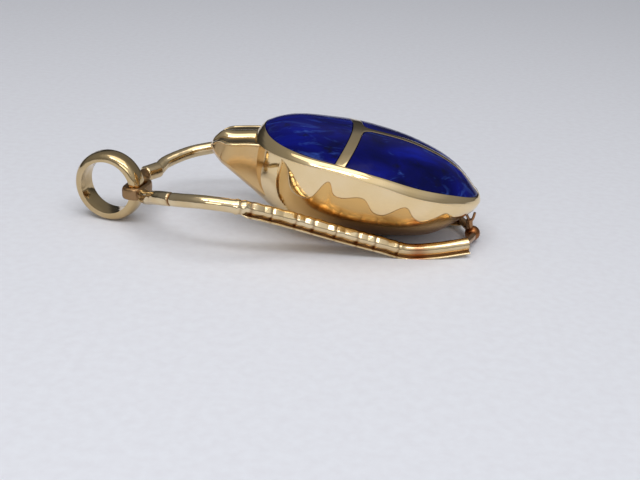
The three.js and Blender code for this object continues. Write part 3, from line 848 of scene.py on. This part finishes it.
stage = dict(floorSize=3000, floor="#e8ebf4", fleck="#e4e6ef", fleckSize=0.9, fleckStops=(0.3, 0.7),
             roughness=0.85, skyAxis=(0.2, -0.45, 0.87), skyFrom=-0.6, skyStrength=0.92,
             sky=[(0.09, 0.03), (0.26, 0.07), (0.36, 0.2), (0.52, 0.23), (0.7, 0.28), (0.84, 0.52),
                  (0.935, 0.9), (1, 1.0)])


def makeFloor():
    # painted board: matt, with a faint fleck
    material, tree, shader = newMaterial("matt_pale_board")
    place = addNode(tree, "ShaderNodeTexCoord").outputs["Object"]
    fleck = addNode(tree, "ShaderNodeTexNoise", {"Scale": 1 / (stage["fleckSize"] * mm), "Detail": 2},
                    {"Vector": place})
    tones = zip(stage["fleckStops"], (stage["floor"], stage["fleck"]))
    colour = addNode(tree, "ShaderNodeValToRGB", {"stops": tones}, {"Fac": fleck.outputs["Fac"]})
    tree.links.new(colour.outputs["Color"], shader.inputs["Base Color"])
    shader.inputs["Roughness"].default_value = stage["roughness"]
    half = stage["floorSize"] / 2 * mm
    corners = [(-half, -half, 0), (half, -half, 0), (half, half, 0), (-half, half, 0)]
    mesh = bpy.data.meshes.new("floor")
    mesh.from_pydata(corners, [], [(0, 1, 2, 3)])
    mesh.materials.append(material)
    floor = bpy.data.objects.new("floor", mesh)
    bpy.context.scene.collection.objects.link(floor)


def makeSky():
    world = bpy.data.worlds.new("soft_room")
    bpy.context.scene.world = world
    world.use_nodes = True
    tree = world.node_tree
    tree.nodes.clear()
    place = addNode(tree, "ShaderNodeTexCoord").outputs["Generated"]
    axis = addNode(tree, "ShaderNodeVectorMath", {"operation": "DOT_PRODUCT"}, {0: place})
    axis.inputs[1].default_value = stage["skyAxis"]
    height = addNode(tree, "ShaderNodeMapRange", {"From Min": stage["skyFrom"], "From Max": 1},
                     {"Value": axis.outputs["Value"]})
    colour = addNode(tree, "ShaderNodeValToRGB", {"stops": stage["sky"]}, {"Fac": height.outputs["Result"]})
    light = addNode(tree, "ShaderNodeBackground", {"Strength": stage["skyStrength"]},
                    {"Color": colour.outputs["Color"]})
    addNode(tree, "ShaderNodeOutputWorld", links={"Surface": light.outputs["Background"]})


sparkLamp = dict(size=(48, 48), power=0.036, colour="#ffffff")
lamps = dict(
    softbox=dict(place=(15, -10, 190), aim=(12, 0, 0), size=(200, 100), power=0.07, colour="#fffaf2"),
    lampLeft=dict(sparkLamp, place=(-60, -110, 190), aim=(10, 0, 5)),
    lampMiddle=dict(sparkLamp, place=(-5, -130, 200), aim=(12, 0, 5)),
    lampFront=dict(sparkLamp, place=(50, -130, 200), aim=(12, 0, 5)),
    fill=dict(place=(-10, -150, 62), aim=(12, 0, 4), size=(80, 40), power=0.022, colour="#ffffff"),
    lampRight=dict(sparkLamp, place=(100, -100, 190), aim=(14, 0, 5)),
)


def inFrame(place):
    return Vector(place) * mm + Vector((shiftX, 0, 0))


def makeLamp(name, lamp):
    light = bpy.data.lights.new(name, "AREA")
    light.shape = "RECTANGLE"
    light.size, light.size_y = lamp["size"][0] * mm, lamp["size"][1] * mm
    light.energy = lamp["power"]
    light.color = linear(lamp["colour"])[:3]
    lampObject = bpy.data.objects.new(name, light)
    place, aim = inFrame(lamp["place"]), inFrame(lamp["aim"])
    turn = (aim - place).to_track_quat("-Z", "Y").to_matrix().to_4x4()
    lampObject.matrix_world = Matrix.Translation(place) @ turn
    bpy.context.scene.collection.objects.link(lampObject)


view = dict(place=(21.97, -93.45, 39.01), heading=2.348, pitch=23.25, roll=3.486, lens=54, sensor=36,
            near=1, far=10000)


def makeCamera():
    camera = bpy.data.cameras.new("camera")
    camera.sensor_fit = "HORIZONTAL"
    camera.sensor_width = view["sensor"]
    camera.lens = view["lens"]
    camera.clip_start = view["near"] * mm
    camera.clip_end = view["far"] * mm
    cameraObject = bpy.data.objects.new("camera", camera)
    turn = (Matrix.Rotation(math.radians(view["heading"]), 4, "Z")
            @ Matrix.Rotation(math.radians(90 - view["pitch"]), 4, "X")
            @ Matrix.Rotation(math.radians(view["roll"]), 4, "Z"))
    cameraObject.matrix_world = Matrix.Translation(inFrame(view["place"])) @ turn
    bpy.context.scene.collection.objects.link(cameraObject)
    bpy.context.scene.camera = cameraObject


makeFloor()
makeSky()
for lampName, lampLook in lamps.items():
    makeLamp(lampName, lampLook)
makeCamera()
bpy.context.scene.view_settings.view_transform = "Standard"
print("stage, lamps and camera set")
